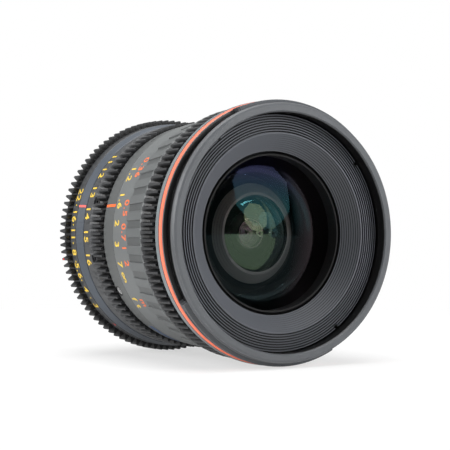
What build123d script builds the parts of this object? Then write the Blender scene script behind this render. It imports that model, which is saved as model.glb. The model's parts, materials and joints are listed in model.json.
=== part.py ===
from build123d import *
import math
import os

# Wide-angle zoom lens with three toothed control rings, modelled as separate pieces.
# Millimetres. The lens axis is Y: the front looks along -Y and the camera is towards +Y.
# The origin is the centre of the camera seat, the face that meets the camera. +Z is up.
# Angles round the axis are measured from +X towards +Z.

# Stations along the axis, from the camera seat forwards
seat_y = 0.0
ear_thick = 3.0
lock_room = 3.4
mount_plate = 2.2
iris_rear_gap = 0.4
iris_teeth_len = 4.9
iris_band_len = 4.5
ring_gap = 0.2
index_len = 4.2
zoom_band_len = 5.4
zoom_runout = 3.6
zoom_teeth_len = 5.4
zoom_front_gap = 0.4
barrel_band_len = 8.0
scale_len = 11.0
grip_len = 13.8
focus_runout = 3.2
focus_teeth_len = 5.4
front_recess = 3.3
rim_len = 2.35
accent_len = 1.75
land_len = 0.65
groove_len = 3.25
lip_len = 2.0

mount_front = seat_y - ear_thick - lock_room - mount_plate
iris_rear = mount_front - iris_rear_gap
iris_teeth_front = iris_rear - iris_teeth_len
iris_front = iris_teeth_front - iris_band_len
index_rear = iris_front - ring_gap
index_front = index_rear - index_len
zoom_rear = index_front - ring_gap
zoom_runout_end = zoom_rear - zoom_band_len
zoom_teeth_end = zoom_runout_end - zoom_runout
zoom_front = zoom_teeth_end - zoom_teeth_len
band_rear = zoom_front - zoom_front_gap
band_front = band_rear - barrel_band_len
focus_rear = band_front - ring_gap
grip_rear = focus_rear - scale_len
grip_front = grip_rear - grip_len
focus_teeth_end = grip_front - focus_runout
focus_front = focus_teeth_end - focus_teeth_len
rim_rear = focus_front - front_recess
accent_rear = rim_rear - rim_len
accent_front = accent_rear - accent_len
groove_rear = accent_front - land_len
groove_front = groove_rear - groove_len
lip_front = groove_front - lip_len

# Running fits and walls
run_fit = 0.05
side_gap = 0.3
sleeve_wall = 1.4
helicoid_wall = 1.35
rear_sleeve_wall = 1.4
iris_sleeve_wall = 3.5
guide_wall = 1.2
cam_wall = 1.35

# Outside of the fixed body. Each radius steps in or out from the one it stands on.
rim_r = 42.4
lug_drop = 0.1
land_drop = 0.4
accent_proud = 0.3
lip_drop = 1.1
lip_round = 1.15
lug_channel = 0.4
lug_channel_len = 0.3
lug_slope_len = 0.6
groove_deep = 2.0
filter_wall = 2.2
filter_len = 3.5
lip_bevel = 0.5
thread_relief = 0.4
sleeve_step = 2.3
rear_step = 0.6
barrel_front_wall = 3.0
barrel_rear_wall = 3.3
index_front_wall = 4.3
index_rear_wall = 5.2
iris_step = 2.4
focus_stop_wall = 2.8
sleeve_front_room = 2.75
edge_break = 0.2
accent_bevel = 0.25

lug_r = rim_r - lug_drop
land_r = rim_r - land_drop
accent_r = land_r + accent_proud
lip_r = lug_r - lip_drop
groove_floor_r = lug_r - groove_deep
filter_minor_r = groove_floor_r - filter_wall
lip_mouth_r = filter_minor_r + lip_bevel
front_bore_r = filter_minor_r + thread_relief
sleeve_r = front_bore_r - sleeve_step
sleeve_bore = sleeve_r - sleeve_wall
sleeve_front = groove_rear + sleeve_front_room
rear_sleeve_r = sleeve_r - rear_step
rear_sleeve_bore = rear_sleeve_r - rear_sleeve_wall
iris_sleeve_r = rear_sleeve_r + iris_step
barrel_front_r = sleeve_r + barrel_front_wall
barrel_rear_r = rear_sleeve_r + barrel_rear_wall
index_front_r = rear_sleeve_r + index_front_wall
index_rear_r = rear_sleeve_r + index_rear_wall
focus_stop_r = sleeve_r + focus_stop_wall

# Hood bayonet: two grooves, and two narrow slots between them
grooves = ((112.5, 211.5), (296.0, 405.0))
slot_len = 1.2
slot_depth = 0.9
slot_spans = ((214.5, 292.0), (49.0, 109.0))

# Control rings. Each gear has the whole number of module 0.8 teeth that its wall allows.
module = 0.8
addendum = 1.0
dedendum = 1.25
tip_share = 0.26
root_share = 0.26
helicoid_in = sleeve_r + run_fit
helicoid_out = helicoid_in + helicoid_wall
zoom_bore = rear_sleeve_r + run_fit
iris_bore = iris_sleeve_r + run_fit
focus_pitch_wall = 3.2
zoom_pitch_wall = 3.55
iris_pitch_wall = 3.95
focus_teeth = round(2 * (helicoid_out + focus_pitch_wall) / module)
zoom_teeth = round(2 * (zoom_bore + zoom_pitch_wall) / module)
iris_teeth = round(2 * (iris_bore + iris_pitch_wall) / module)
scale_wall = 1.7
grip_rear_rise = 0.5
grip_front_rise = 1.9
grip_depth = 0.5
grip_count = 46
zoom_band_wall = 4.05
iris_band_wall = 2.85
scale_r = helicoid_out + scale_wall
grip_rear_r = scale_r + grip_rear_rise
grip_front_r = scale_r + grip_front_rise
zoom_band_r = zoom_bore + zoom_band_wall
iris_band_r = iris_bore + iris_band_wall
helicoid_end_gap = 0.6
helicoid_lip = 1.2

# Ring travel from the position shown, in degrees about +Y, and slide in millimetres per degree
focus_turn = (-18.0, 35.0)
zoom_turn = (-27.5, 26.5)
iris_turn = (-6.0, 52.5)
focus_lead = 0.0480
variator_lead = -0.1200
relay_lead = -0.0800

# Cam rollers
roller_r = 1.2
roller_fit = 0.05
roller_tip_gap = 0.1
cam_steps = 12
pin_root_depth = 2.6
roller_angles = (30.0, 150.0, 270.0)
relay_roller_angles = (90.0, 210.0, 330.0)

# Front group: baffle, cell and three elements. A positive radius bulges towards the front.
glass_fit = 0.05
seat_gap = 0.01
front_rim_r = 26.4
front_outer_radius = 70.0
front_clear_step = 5.9
front_inner_round = 6.5
front_thick = 3.0
front_vertex_back = 4.6
second_step = 6.0
second_outer_radius = 62.0
second_clear_step = 5.4
second_inner_round = 6.0
second_thick = 2.2
third_rim_r = 14.0
third_outer_radius = -60.0
third_inner_radius = 80.0
third_thick = 2.0
glass_lip = 1.0
third_lip = 0.8
spacer_len = 1.22
trap_inner_step = 6.9
trap_glass_gap = 0.25
trap_thick = 0.9
trap_steps = 7
third_land = 0.78
lock_ring_wide = 1.6
lock_ring_lip = 1.2
lock_ring_len = 1.17
front_retainer_lip = 1.4
front_retainer_wide = 1.0
front_retainer_front = 5.84
collar_wall = 0.5
collar_behind = 0.25
retainer_recess = 0.1
baffle_set_back = 4.66
baffle_gap = 0.8
baffle_edge = 1.3
flat_wide = 5.6
baffle_glass_gap = 0.4
baffle_fall = 4.3
baffle_neck = 0.3
baffle_rim = 0.4
flat_ridges = 7
cone_steps = 9
ridge_share = 0.42
ridge_deep = 0.7
notch_angles = (38.0, 128.5, 216.5, 305.0)
notch_wide = 1.3
notch_deep = 1.1
cell_skirt_wall = 3.75
cell_skirt_behind = 3.44
cell_web_behind = 1.6
cell_nose_wall = 2.1
focus_pin_back = 20.6

baffle_front = lip_front + baffle_set_back
baffle_back = baffle_front + baffle_edge
baffle_r = front_bore_r - baffle_gap
baffle_mid_r = baffle_r - flat_wide
baffle_in_r = front_rim_r + baffle_glass_gap
front_clear_r = front_rim_r - front_retainer_lip
front_retainer_r = front_rim_r + front_retainer_wide
front_inner_clear = front_rim_r - front_clear_step
front_inner_radius = front_inner_clear + front_inner_round
second_rim_r = front_rim_r - second_step
second_lip_r = second_rim_r - glass_lip
second_inner_clear = second_rim_r - second_clear_step
second_inner_radius = second_inner_clear + second_inner_round
third_lip_r = third_rim_r - third_lip
lock_ring_r = third_rim_r + lock_ring_wide
lock_ring_in_r = third_rim_r - lock_ring_lip
focus_pin_y = baffle_front + focus_pin_back
cell_r = sleeve_bore - run_fit
cell_skirt_in_r = cell_r - cell_skirt_wall
cell_skirt_end = focus_pin_y + cell_skirt_behind
cell_nose_r = second_rim_r + cell_nose_wall

# Guide tube and cam tube
guide_room = 1.5
guide_flange = 2.0
guide_web_gap = 0.5
cam_set_back = 4.0
cam_clip_len = 0.8
cam_side_gap = 0.2
guide_bore = cell_nose_r + guide_room
guide_r = guide_bore + guide_wall
guide_rear = index_rear
flange_front = guide_rear - guide_flange
inner_cell_r = guide_bore - run_fit
cam_in = guide_r + run_fit
cam_out = cam_in + cam_wall
pin_tip_r = cam_out - roller_tip_gap

# Diaphragm. The case and the drive ring sit inside the guide tube.
blade_count = 9
case_ahead = 14.6
case_plate = 1.2
case_wall = 1.6
case_mouth_r = 9.6
blade_front_gap = 0.15
blade_rear_gap = 0.05
blade_pitch = 0.25
blade_thick = 0.15
blade_pivot_r = 16.2
blade_open_r = 9.3
blade_width = 4.8
blade_span = (-8.0, 122.0)
blade_pin_r = 0.45
blade_pin_end_gap = 0.1
blade_ear_r = 1.25
blade_arm_r = 0.95
blade_drive = (15.0, -16.0)
blade_ratio = 0.54
blade_rest = iris_turn[1] * blade_ratio
pin_fit = 0.06
drive_gap = 0.1
drive_thick = 1.35
drive_mouth_r = 13.0
slot_steps = 20
clip_gap = 0.1
clip_len = 0.6
clip_span = (75.0, 359.0)
case_front = flange_front - case_ahead
blade_first = case_front + case_plate + blade_front_gap
case_rear = blade_first + (blade_count - 1) * blade_pitch + blade_thick + blade_rear_gap
drive_front = case_rear + drive_gap
drive_rear = drive_front + drive_thick

# Variator group, ahead of the diaphragm
inner_retainer_len = 0.7
variator_room = 0.3
variator_ahead = 2.6
variator_behind = 5.8
variator_land_at = 2.4
variator_land_len = 0.8
variator_rim_r = 13.0
variator_first = (-80.0, 1.8, 60.0)
variator_second = (55.0, 3.4, -120.0)
variator_y = case_front - variator_room - variator_lead * zoom_turn[0] - variator_behind
variator_land = (variator_y + variator_land_at, variator_y + variator_land_at + variator_land_len)
variator_clear_r = variator_rim_r - glass_lip

# Relay group, behind the diaphragm
relay_room = 0.68
relay_ahead = 3.0
relay_behind = 5.0
relay_land_at = 1.0
relay_land_len = 0.8
relay_rim_r = 13.0
relay_cell_gap = 2.0
relay_pad_len = 4.8
relay_pad_half = 8.0
relay_pad_root = 0.5
relay_first = (32.0, 3.0, 90.0)
relay_second = (80.0, 3.6, -60.0)
relay_y = drive_rear + relay_room - relay_lead * zoom_turn[1] + relay_ahead
relay_land = (relay_y + relay_land_at, relay_y + relay_land_at + relay_land_len)
relay_clear_r = relay_rim_r - glass_lip
relay_cell_r = guide_bore - case_wall - relay_cell_gap

# Key that ties the zoom ring to the cam tube, ahead of the relay rollers at the end of their travel
zoom_key_angle = 0.0
zoom_key_long = 3.6
zoom_key_wide = 6.0
zoom_key_window = 6.0
zoom_key_gap = 0.38
zoom_key_root = 0.65
zoom_key_cover = 2.8
zoom_key_side = 0.4
zoom_key_y = relay_y + relay_lead * zoom_turn[1] - roller_r - zoom_key_gap - zoom_key_long / 2

# Iris lever between the drive ring and the iris ring
lever_angle = 60.0
lever_wide = 2.4
lever_thick = 1.1
lever_gap = 0.55
lever_arm_at = 1.4
lever_arm_len = 2.4
lever_bite = 1.15
lever_room = 0.4
lever_window = 4.5
lever_r = (inner_cell_r - lever_gap - lever_thick, inner_cell_r - lever_gap)
lever_arm = (iris_front + lever_arm_at, iris_front + lever_arm_at + lever_arm_len)
lever_tip_r = iris_bore + lever_bite

# Rear housing and camera mount
housing_flange_wide = 4.0
housing_flange_len = 2.8
shim_thick = 0.2
shim_step = 0.1
mount_plate_rise = 1.4
spigot_r = 27.0
spigot_len = 5.5
spigot_wall = 2.2
spigot_bevel = 0.5
neck_rise = 2.8
ear_rise = 4.2
ear_half = 24.0
ear_root = 0.5
ear_angles = (0.0, 90.0, 180.0, 270.0)
ear_notch_wide = 2.6
ear_notch_deep = 2.4
mount_screw_inset = 4.4
mount_screw_r = 1.0
mount_screw_head_r = 1.9
mount_screw_angles = (45.0, 135.0, 225.0, 315.0)
mount_screw_len = 4.8
mount_screw_slot = (2.4, 0.8, 0.5)
housing_in_r = iris_sleeve_r - iris_sleeve_wall
housing_flange_r = housing_in_r - housing_flange_wide
housing_rear = mount_front - shim_thick
mount_back = mount_front + mount_plate
mount_plate_r = iris_sleeve_r + mount_plate_rise
mount_screw_pcd_r = iris_sleeve_r - mount_screw_inset
neck_r = spigot_r + neck_rise
ear_r = neck_r + ear_rise
spigot_in = spigot_r - spigot_wall

# Rear group
rear_rim_r = 17.0
rear_cell_wall = 3.0
rear_cell_len = 9.0
rear_cell_step = 1.2
rear_flange_wide = 3.0
rear_land = (seat_y - 1.5, seat_y - 0.5)
rear_first = (70.0, 5.0, -80.0)
rear_second = (-50.0, 2.2, -90.0)
rear_retainer_len = 1.5
rear_baffle_at = 1.0
rear_baffle_thick = 1.0
rear_cell_r = rear_rim_r + rear_cell_wall
rear_flange_r = rear_cell_r + rear_flange_wide
rear_clear_r = rear_rim_r - glass_lip
rear_baffle_y = seat_y + rear_baffle_at

# Small outer screws
barrel_screw_angles = (209.9, 329.9, 89.9)
barrel_screw_back = 1.8
barrel_screw_r = 1.25
barrel_screw_head_r = 1.45
barrel_screw_head = 1.05
barrel_screw_sink = 0.15
barrel_screw_room = 0.1
barrel_screw_slot = (0.8, 0.45, 2.0)
zoom_grub_angles = (163.3, 192.4, 283.3, 312.4, 43.3, 72.4)
zoom_grub_forward = 6.5
zoom_grub_r = 1.4
zoom_grub_sink = 0.7
zoom_grub_len = 2.2
zoom_grub_socket = 0.8
lock_slot_deep = 0.5
lock_slot_back = 4.2
lock_slot_angle = 122.3
lock_slot_len = 5.0
lock_slot_wide = 0.7

pieces = {}


def keep(name, shape):
    pieces[name] = shape
    return shape


def around(angle):
    """Turns a shape from the +X side to the given angle round the lens axis."""
    return Rot(0, -angle, 0)


def turned(outline):
    """Revolves a closed outline of (radius, y) points about the lens axis."""
    return revolve(make_face(Polyline(*outline, close=True)), Axis.Y)


def tube(r_in, r_out, y0, y1):
    return turned([(r_in, y0), (r_out, y0), (r_out, y1), (r_in, y1)])


def sector(r_in, r_out, y0, y1, a0, a1):
    """Part of a tube between two angles."""
    face = make_face(Polyline((r_in, y0), (r_out, y0), (r_out, y1), (r_in, y1), close=True))
    return around(a1) * revolve(face, Axis.Y, revolution_arc=a1 - a0)


def radial_pin(radius, r0, r1, y, angle):
    """A round pin that points away from the axis."""
    return around(angle) * Pos((r0 + r1) / 2, y, 0) * Rot(0, 90, 0) * Cylinder(radius, r1 - r0)


def ring_point(radius, angle, y):
    a = math.radians(angle)
    return (radius * math.cos(a), y, radius * math.sin(a))


def gear_radii(teeth):
    pitch_r = module * teeth / 2
    return pitch_r + addendum * module, pitch_r - dedendum * module


def notched_points(count, y, r_high, r_low, high_share, low_share, phase=0.0):
    """Corner points of a ring with straight-sided notches, four to a pitch."""
    pitch = 360 / count
    steps = (
        (-0.5 * high_share, r_high),
        (0.5 * high_share, r_high),
        (0.5 - 0.5 * low_share, r_low),
        (0.5 + 0.5 * low_share, r_low),
    )
    return [ring_point(r, phase + (i + s) * pitch, y) for i in range(count) for s, r in steps]


def notched_wire(*args, **named):
    return Wire.make_polygon([Vector(*p) for p in notched_points(*args, **named)], close=True)


def toothed_band(teeth, y0, y1, bore, runout=0.0, phase=0.0):
    """Gear teeth cut from the front, with a sloping end to each gap where there is a runout."""
    tip, root = gear_radii(teeth)
    share = dict(high_share=tip_share, low_share=root_share, phase=phase)
    low = notched_wire(teeth, y0, tip, root, **share)
    body = Solid.extrude(Face(low), Vector(0, y1 - y0, 0))
    if runout:
        start = notched_wire(teeth, y1, tip, root, **share)
        end = notched_wire(teeth, y1 + runout, tip, tip - 0.05, **share)
        body = body.fuse(Solid.make_loft([start, end], ruled=True))
    return body - tube(0, bore, y0 - 1, y1 + runout + 1)


def sag(radius, r):
    """How far a glass surface falls back from its vertex at the radius r."""
    return radius - math.copysign(math.sqrt(radius**2 - r**2), radius)


def touch(radius, rim, clear, behind):
    """Fall at the place where a ring of the clear radius meets the surface."""
    bulges = radius < 0 if behind else radius > 0
    return sag(radius, clear if bulges else rim)


def doublet(land, first, second, rim, clear, names):
    """Two elements on either side of a land, and where their retaining rings touch."""
    first_radius, first_thick, first_back = first
    back_vertex = land[0] - seat_gap - touch(first_back, rim, clear, True)
    vertex = back_vertex - first_thick
    keep(names[0], lens(vertex, first_radius, back_vertex, first_back, rim))
    ahead = vertex + touch(first_radius, rim, clear, False) - seat_gap
    second_radius, second_thickness, second_back = second
    vertex = land[1] + seat_gap - touch(second_radius, rim, clear, False)
    back_vertex = vertex + second_thickness
    keep(names[1], lens(vertex, second_radius, back_vertex, second_back, rim))
    return ahead, back_vertex + touch(second_back, rim, clear, True) + seat_gap


def lens(y_front, front_radius, y_back, back_radius, rim, back_clear=None):
    """A glass element. A positive radius bulges towards the front of the lens."""
    back_r = back_clear or rim
    front = [(r, y_front + sag(front_radius, r)) for r in (0, rim / 2, rim)]
    back = [(r, y_back + sag(back_radius, r)) for r in (back_r, back_r / 2, 0)]
    edges = ThreePointArc(*front) + ThreePointArc(*back) + Line(back[2], front[0])
    if back_clear:
        edges += Line(front[2], (rim, back[0][1])) + Line((rim, back[0][1]), back[0])
    else:
        edges += Line(front[2], back[0])
    return revolve(make_face(edges), Axis.Y)


def cam_slot(r0, r1, y, angle, turn, lead):
    """A helical slot for a roller that sits at the given place when the ring is at rest."""
    half = roller_r + roller_fit
    reach = math.degrees(math.atan2(half, (r0 + r1) / 2))
    low, high = turn[0] - reach, turn[1] + reach
    sections = []
    for i in range(cam_steps + 1):
        t = low + (high - low) * i / cam_steps
        centre = y + lead * t
        corners = [(r0, centre - half), (r1, centre - half), (r1, centre + half), (r0, centre + half)]
        points = [Vector(*ring_point(r, angle + t, yy)) for r, yy in corners]
        sections.append(Wire.make_polygon(points, close=True))
    return Solid.make_loft(sections, ruled=True)


def straight_slot(r0, r1, y, angle, travel):
    """A slot along the axis for a roller that slides over the given travel."""
    half = roller_r + roller_fit
    low, high = y + min(travel), y + max(travel)
    body = Pos((r0 + r1) / 2, (low + high) / 2, 0) * Box(r1 - r0, high - low, 2 * half)
    ends = [Pos((r0 + r1) / 2, v, 0) * Rot(0, 90, 0) * Cylinder(half, r1 - r0) for v in (low, high)]
    return around(angle) * (body + ends)


def slot_travel(turn, lead):
    return [lead * turn[0] - side_gap, lead * turn[1] + side_gap] if lead > 0 else \
        [lead * turn[1] - side_gap, lead * turn[0] + side_gap]


def front_housing():
    body = turned([
        (filter_minor_r, lip_front + lip_bevel),
        (lip_mouth_r, lip_front),
        (lip_r - lip_round, lip_front),
        (lip_r - lip_round * 0.3, lip_front + lip_round * 0.3),
        (lip_r, lip_front + lip_round),
        (lip_r, groove_front),
        (lip_r - lug_channel, groove_front),
        (lip_r - lug_channel, groove_front + lug_channel_len),
        (lug_r, groove_front + lug_channel_len + lug_slope_len),
        (lug_r, groove_rear),
        (land_r, groove_rear),
        (land_r, accent_rear),
        (rim_r, accent_rear),
        (rim_r, rim_rear - 2 * edge_break),
        (rim_r - 2 * edge_break, rim_rear),
        (sleeve_r, rim_rear),
        (sleeve_r, sleeve_front),
        (front_bore_r, sleeve_front),
        (front_bore_r, lip_front + filter_len),
        (filter_minor_r, lip_front + filter_len),
    ])
    end_r = groove_len / 2
    end_half = math.degrees(end_r / lug_r)
    for a0, a1 in grooves:
        a0 += end_half
        a1 -= end_half
        body -= sector(groove_floor_r, lug_r + 1, groove_front, groove_rear, a0, a1)
        for a in (a0, a1):
            body -= radial_pin(end_r, groove_floor_r, lug_r + 1, groove_front + end_r, a)
    for a0, a1 in slot_spans:
        body -= sector(lug_r - slot_depth, lug_r + 1, groove_rear - slot_len, groove_rear, a0, a1)
    keep("front_ring", body)
    keep("accent_ring", turned([
        (land_r, accent_front),
        (accent_r - accent_bevel, accent_front),
        (accent_r, accent_front + accent_bevel),
        (accent_r, accent_rear - accent_bevel),
        (accent_r - accent_bevel, accent_rear),
        (land_r, accent_rear),
    ]))
    keep("focus_stop_ring", tube(sleeve_r, focus_stop_r, rim_rear, focus_front - ring_gap))


def zoom_key_block():
    root = cam_in + zoom_key_root
    tip = gear_radii(zoom_teeth)[0] - zoom_key_cover
    middle = Pos((root + tip) / 2, zoom_key_y, 0)
    return around(zoom_key_angle) * middle * Box(tip - root, zoom_key_long, zoom_key_wide)


def fixed_barrel():
    body = turned([
        (sleeve_bore, sleeve_front),
        (sleeve_r, sleeve_front),
        (sleeve_r, band_front),
        (barrel_front_r - edge_break, band_front),
        (barrel_front_r, band_front + edge_break),
        (barrel_rear_r, band_rear - edge_break),
        (barrel_rear_r - edge_break, band_rear),
        (rear_sleeve_r, band_rear),
        (rear_sleeve_r, flange_front),
        (rear_sleeve_bore, flange_front),
        (rear_sleeve_bore, band_front),
        (sleeve_bore, band_front),
    ])
    travel = slot_travel(focus_turn, focus_lead)
    for a in roller_angles:
        body -= straight_slot(sleeve_bore - 1, sleeve_r + 1, focus_pin_y, a, travel)
    half = zoom_key_long / 2 + zoom_key_side
    body -= sector(rear_sleeve_bore - 1, rear_sleeve_r + 1, zoom_key_y - half, zoom_key_y + half,
                   zoom_key_angle - zoom_turn[1] - zoom_key_window,
                   zoom_key_angle - zoom_turn[0] + zoom_key_window)
    screw_y = band_rear - barrel_screw_back
    head_top = barrel_rear_r - barrel_screw_sink
    head_root = head_top - barrel_screw_head
    for a in barrel_screw_angles:
        body -= radial_pin(barrel_screw_head_r + barrel_screw_room, head_root, barrel_front_r + 1, screw_y, a)
        body -= radial_pin(barrel_screw_r, rear_sleeve_bore - 1, barrel_front_r, screw_y, a)
    slot_half = math.degrees(lock_slot_len / 2 / barrel_front_r)
    slot_y = band_front + lock_slot_back
    body -= sector(barrel_front_r - lock_slot_deep, barrel_front_r + 1, slot_y - lock_slot_wide / 2,
                   slot_y + lock_slot_wide / 2, lock_slot_angle - slot_half, lock_slot_angle + slot_half)
    keep("main_barrel", body)
    screws = []
    for a in barrel_screw_angles:
        head = radial_pin(barrel_screw_head_r, head_root, head_top, screw_y, a)
        shank = radial_pin(barrel_screw_r, rear_sleeve_bore, head_root, screw_y, a)
        drive = around(a) * Pos(head_top, screw_y, 0) * Box(*barrel_screw_slot)
        screws.append(head + shank - drive)
    keep("barrel_screws", Compound(children=[s.solid() for s in screws]))


def guide(cell_web_y):
    """Places the guide tube behind the cell's web, clear of the focus travel. Returns the cam tube's front."""
    guide_front = cell_web_y + focus_lead * focus_turn[1] + guide_web_gap
    cam_front = guide_front + cam_set_back
    body = tube(guide_bore, guide_r, guide_front, guide_rear)
    body += tube(guide_bore, rear_sleeve_r, flange_front, guide_rear)
    travel = slot_travel(zoom_turn, variator_lead)
    for a in roller_angles:
        body -= straight_slot(guide_bore - 1, guide_r + 1, variator_y, a, travel)
    travel = slot_travel(zoom_turn, relay_lead)
    for a in relay_roller_angles:
        body -= straight_slot(guide_bore - 1, guide_r + 1, relay_y, a, travel)
    keep("guide_tube", body)
    clip_rear = cam_front - cam_side_gap
    keep("cam_clip", tube(guide_r, cam_out, clip_rear - cam_clip_len, clip_rear))
    keep("index_ring", turned([
        (rear_sleeve_r, index_front),
        (index_front_r - edge_break, index_front),
        (index_front_r, index_front + edge_break),
        (index_rear_r, index_rear - edge_break),
        (index_rear_r - edge_break, index_rear),
        (rear_sleeve_r, index_rear),
    ]))
    return cam_front


def focus_control():
    band = toothed_band(focus_teeth, focus_front, focus_teeth_end, helicoid_out, focus_runout)
    low = notched_wire(grip_count, grip_front, grip_front_r, grip_front_r - grip_depth, 0.5, 0.42)
    high = notched_wire(grip_count, grip_rear, grip_rear_r, grip_rear_r - grip_depth, 0.5, 0.42)
    grip = Solid.make_loft([low, high], ruled=True) - tube(0, helicoid_out, grip_front - 1, grip_rear + 1)
    tail = turned([
        (helicoid_out, grip_rear),
        (scale_r, grip_rear),
        (scale_r, focus_rear - edge_break),
        (scale_r - edge_break, focus_rear),
        (helicoid_in, focus_rear),
        (helicoid_in, focus_rear - helicoid_lip),
        (helicoid_out, focus_rear - helicoid_lip),
    ])
    keep("focus_ring", Part() + band + grip + tail)
    sleeve = tube(helicoid_in, helicoid_out, focus_front + helicoid_end_gap, focus_rear - helicoid_lip)
    for a in roller_angles:
        sleeve -= cam_slot(helicoid_in - 1, helicoid_out + 1, focus_pin_y, a, focus_turn, focus_lead)
    keep("focus_helicoid", sleeve)


def rollers(name, r0, r1, y, angles):
    pins = [radial_pin(roller_r, r0, r1, y, a) for a in angles]
    keep(name, Compound(children=[p.solid() for p in pins]))


def rings(name, r_in, r_out, spans):
    keep(name, Compound(children=[tube(r_in, r_out, y0, y1).solid() for y0, y1 in spans]))


def ridged(r0, r1, y, count, depth):
    """Corner points of ring-shaped ridges with square grooves behind them, from the radius r0 inwards."""
    step = (r1 - r0) / count
    ridge = ((0.0, 0.0), (ridge_share, 0.0), (ridge_share, depth), (1.0, depth))
    return [(r0 + step * (i + share), y + drop) for i in range(count) for share, drop in ridge]


def stairs(start, end, count):
    """Corner points of equal steps, each a flat tread and then a riser."""
    run = (end[0] - start[0]) / count
    rise = (end[1] - start[1]) / count
    points = [start]
    for i in range(count):
        points.append((start[0] + run * (i + 1), start[1] + rise * i))
        points.append((start[0] + run * (i + 1), start[1] + rise * (i + 1)))
    return points


def front_group():
    cone_end = (baffle_in_r, baffle_front + baffle_fall)
    profile = [(baffle_r, baffle_back)]
    profile += ridged(baffle_r, baffle_mid_r, baffle_front, flat_ridges, ridge_deep)
    profile += stairs((baffle_mid_r, baffle_front), cone_end, cone_steps)
    baffle_eye = baffle_in_r - baffle_rim
    profile += [(baffle_eye, cone_end[1]), (baffle_eye, cone_end[1] + baffle_edge)]
    profile += [(baffle_in_r, cone_end[1] + baffle_edge), (baffle_mid_r + baffle_neck, baffle_back)]
    baffle = turned(profile)
    for a in notch_angles:
        slot = Pos(baffle_r, baffle_front, 0) * Box(2 * notch_deep, 4 * baffle_edge, notch_wide)
        baffle -= around(a) * slot
    keep("front_baffle", baffle)

    vertex = baffle_front + front_vertex_back
    back = vertex + front_thick
    keep("front_element", lens(vertex, front_outer_radius, back, front_inner_radius, front_rim_r,
                               front_inner_clear))
    front_flat = back + sag(front_inner_radius, front_inner_clear)
    touch_y = vertex + sag(front_outer_radius, front_clear_r) - seat_gap
    retainer_front = baffle_front + front_retainer_front
    collar_front = cone_end[1] + collar_behind
    keep("front_retainer", turned([
        (front_clear_r, touch_y),
        (front_clear_r, collar_front),
        (front_clear_r + collar_wall, collar_front),
        (front_clear_r + collar_wall, retainer_front),
        (front_retainer_r, retainer_front),
        (front_retainer_r, touch_y),
    ]))

    second_rim = front_flat + spacer_len
    second_vertex = second_rim - sag(second_outer_radius, second_rim_r)
    second_back = second_vertex + second_thick
    keep("second_element", lens(second_vertex, second_outer_radius, second_back, second_inner_radius,
                                second_rim_r, second_inner_clear))
    second_lip = second_vertex + sag(second_outer_radius, second_lip_r) - 3 * seat_gap
    keep("second_spacer", turned([
        (second_lip_r, front_flat),
        (front_rim_r, front_flat),
        (front_rim_r, second_rim),
        (second_rim_r, second_rim - seat_gap),
        (second_lip_r, second_lip),
    ]))
    second_flat = second_back + sag(second_inner_radius, second_inner_clear)
    trap_in_r = second_rim_r - trap_inner_step
    trap_out_r = second_lip_r - glass_fit
    inner_back = second_vertex + sag(second_outer_radius, trap_in_r) - trap_glass_gap
    outer_back = second_vertex + sag(second_outer_radius, trap_out_r) - trap_glass_gap
    profile = [(trap_in_r, inner_back), (trap_out_r, outer_back)]
    profile += stairs((trap_out_r, outer_back - trap_thick), (trap_in_r, inner_back - trap_thick), trap_steps)
    keep("second_retainer", turned(profile))

    third_front = second_flat + third_land
    third_vertex = third_front - sag(third_outer_radius, third_rim_r)
    third_back = third_vertex + third_thick
    keep("third_element", lens(third_vertex, third_outer_radius, third_back, third_inner_radius, third_rim_r))
    third_rear = third_back + sag(third_inner_radius, third_rim_r)
    nose_end = third_rear + lock_ring_len
    keep("rear_lock_ring", tube(lock_ring_in_r, lock_ring_r, third_rear + seat_gap, nose_end))

    cell_web_y = second_rim + cell_web_behind
    cell = turned([
        (cell_r, baffle_back),
        (cell_r, cell_skirt_end),
        (cell_skirt_in_r, cell_skirt_end),
        (cell_skirt_in_r, cell_web_y),
        (cell_nose_r, cell_web_y),
        (cell_nose_r, nose_end),
        (lock_ring_r, nose_end),
        (lock_ring_r, third_rear),
        (third_rim_r + glass_fit, third_rear),
        (third_rim_r + glass_fit, third_front),
        (third_lip_r, third_front),
        (third_lip_r, second_flat),
        (second_rim_r + glass_fit, second_flat),
        (second_rim_r + glass_fit, second_rim),
        (front_rim_r + glass_fit, second_rim),
        (front_rim_r + glass_fit, touch_y + glass_fit),
        (front_retainer_r, touch_y + glass_fit),
        (front_retainer_r, retainer_front - retainer_recess),
        (baffle_mid_r + baffle_neck + glass_fit, baffle_back),
    ])
    for a in roller_angles:
        cell -= radial_pin(roller_r, cell_r - pin_root_depth, cell_r + 1, focus_pin_y, a)
    keep("front_cell", cell)
    tip_r = helicoid_out - roller_tip_gap
    rollers("focus_pins", cell_r - pin_root_depth, tip_r, focus_pin_y, roller_angles)
    return cell_web_y


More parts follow.
